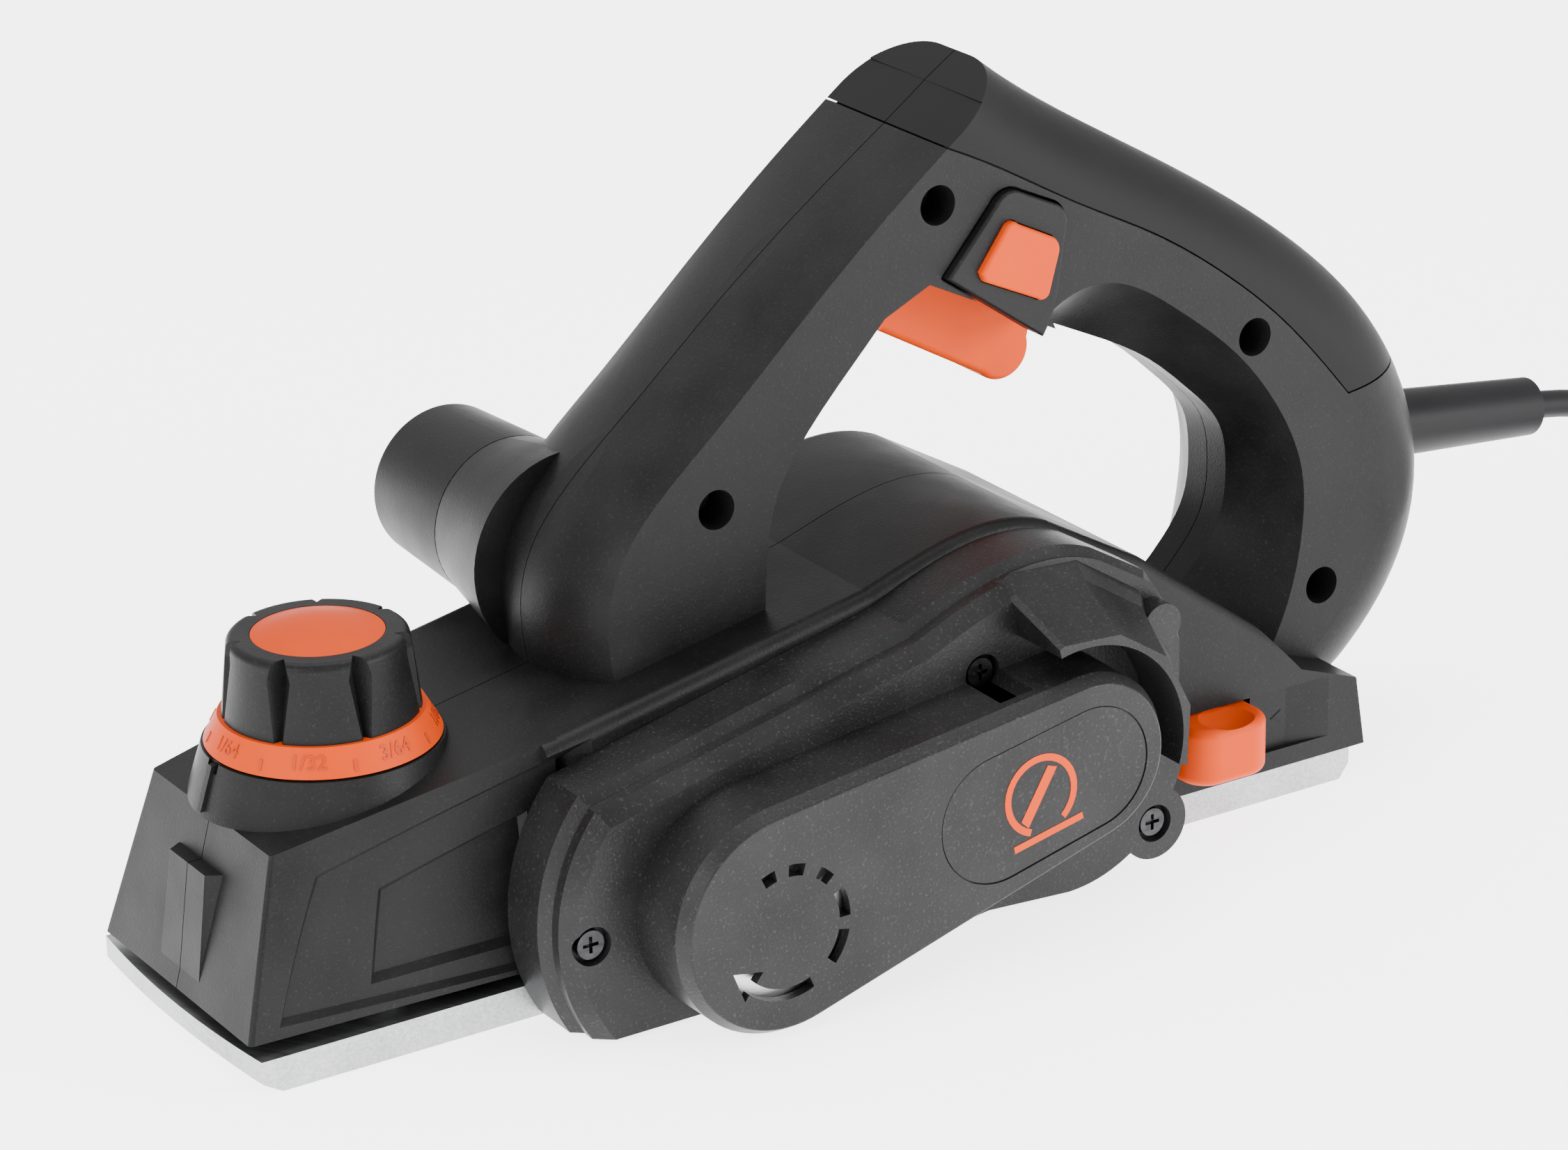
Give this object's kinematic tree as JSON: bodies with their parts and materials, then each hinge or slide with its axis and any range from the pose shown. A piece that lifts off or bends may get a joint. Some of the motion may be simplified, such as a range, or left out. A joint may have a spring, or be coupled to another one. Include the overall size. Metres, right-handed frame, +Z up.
{
  "type": "electric hand planer",
  "caption": "Corded electric hand planer with a closed loop handle, depth knob, belt-driven cutter drum, side belt cover and split soles.",
  "frame": {"origin": "on the rear sole's face, on its centre line, under the leading part of the tool's body", "axes": "+X towards the tool's rear and its cord, +Y towards the dust port, away from the drive belt, +Z up from the sole"},
  "size_m": [0.5757, 0.176, 0.202],
  "materials": {
    "body_plastic": "fine spark-eroded texture",
    "grip_rubber": "soft matte",
    "drive_plastic": "fine texture",
    "accent": "satin orange",
    "trigger_plastic": "satin",
    "sole_metal": "machined",
    "drum_metal": "machined",
    "steel": "bright",
    "screw_steel": "blackened",
    "iron_laminations": "dull",
    "copper": "lacquered wire",
    "carbon": "dull",
    "fan_plastic": "plain",
    "switch_plastic": "plain",
    "belt_rubber": "ribbed",
    "cord_rubber": "satin"
  },
  "bodies": {
    "housing": {"left_housing": "body_plastic", "right_housing": "body_plastic", "left_grip": "grip_rubber", "right_grip": "grip_rubber", "dust_port": "body_plastic", "housing_screws": "screw_steel", "rear_shoe": "sole_metal", "rear_shoe_screws": "screw_steel", "left_shoe_spring": "steel", "right_shoe_spring": "steel", "trigger_pin": "steel", "trigger_spring": "steel", "switch": "switch_plastic", "lock_bezel": "body_plastic", "knob_collar": "body_plastic", "drive_housing": "drive_plastic", "belt_cover": "drive_plastic", "cover_badge": "drive_plastic", "cover_screws": "screw_steel", "drum_end_plate": "body_plastic", "left_drum_bearing": "steel", "right_drum_bearing": "steel", "left_motor_bearing": "steel", "right_motor_bearing": "steel", "drive_belt": "belt_rubber", "stator": "iron_laminations", "field_windings": "copper", "brush_holders": "copper", "brushes": "carbon", "motor_end_cover": "body_plastic", "cord_guard": "cord_rubber", "power_cord": "cord_rubber", "cord_coil": "cord_rubber", "coil_tie": "trigger_plastic", "cord_tail": "cord_rubber", "plug_body": "cord_rubber", "plug_blades": "steel"},
    "front_shoe": {"front_shoe": "sole_metal", "guide_pins": "steel"},
    "depth_knob": {"depth_knob": "body_plastic", "knob_cap": "accent", "depth_ring": "accent", "depth_screw": "steel"},
    "cutter": {"cutter_drum": "drum_metal", "blades": "steel", "blade_clamps": "steel", "clamp_screws": "screw_steel", "drum_shaft": "steel", "drum_pulley": "drum_metal"},
    "rotor": {"motor_shaft": "steel", "armature": "iron_laminations", "armature_windings": "copper", "commutator": "copper", "motor_fan": "fan_plastic", "motor_pulley": "drum_metal"},
    "trigger": {"trigger": "accent"},
    "lock_button": {"lock_button": "accent"},
    "wrench": {"hex_wrench": "steel", "wrench_grip": "accent"}
  },
  "joints": [
    {"name": "depth_turn", "type": "hinge", "parent": "housing", "child": "depth_knob", "pos_m": [-0.119, 0, 0.07], "axis": [0, 0, -1], "range_deg": [-46, 296]},
    {"name": "shoe_lift", "type": "slide", "parent": "housing", "child": "front_shoe", "axis": [0, 0, 1], "range_m": [-0.0004, 0.0026], "deforming": ["left_shoe_spring", "right_shoe_spring"]},
    {"name": "rotor_spin", "type": "hinge", "parent": "housing", "child": "rotor", "pos_m": [0.043, 0, 0.048], "axis": [0, 1, 0], "continuous": true},
    {"name": "cutter_spin", "type": "hinge", "parent": "housing", "child": "cutter", "pos_m": [-0.044, 0, 0.0282], "axis": [0, 1, 0], "continuous": true},
    {"name": "trigger_pull", "type": "hinge", "parent": "housing", "child": "trigger", "pos_m": [0.0318, 0, 0.157], "axis": [0, -1, 0], "range_deg": [0, 7], "stiffness_Nm_per_rad": 2, "springref_deg": -6.88, "deforming": ["trigger_spring"]},
    {"name": "lock_press", "type": "slide", "parent": "housing", "child": "lock_button", "axis": [0, 1, 0], "range_m": [0, 0.003], "stiffness_N_per_m": 600, "springref_m": -0.003},
    {"name": "wrench_slide", "type": "slide", "parent": "housing", "child": "wrench", "axis": [1, 0, 0], "range_m": [0, 0.012]}
  ],
  "couplings": [
    {"joint": "depth_turn", "follows": "shoe_lift", "rad_per_m": 1979},
    {"joint": "cutter_spin", "follows": "rotor_spin", "ratio": 0.52381}
  ]
}
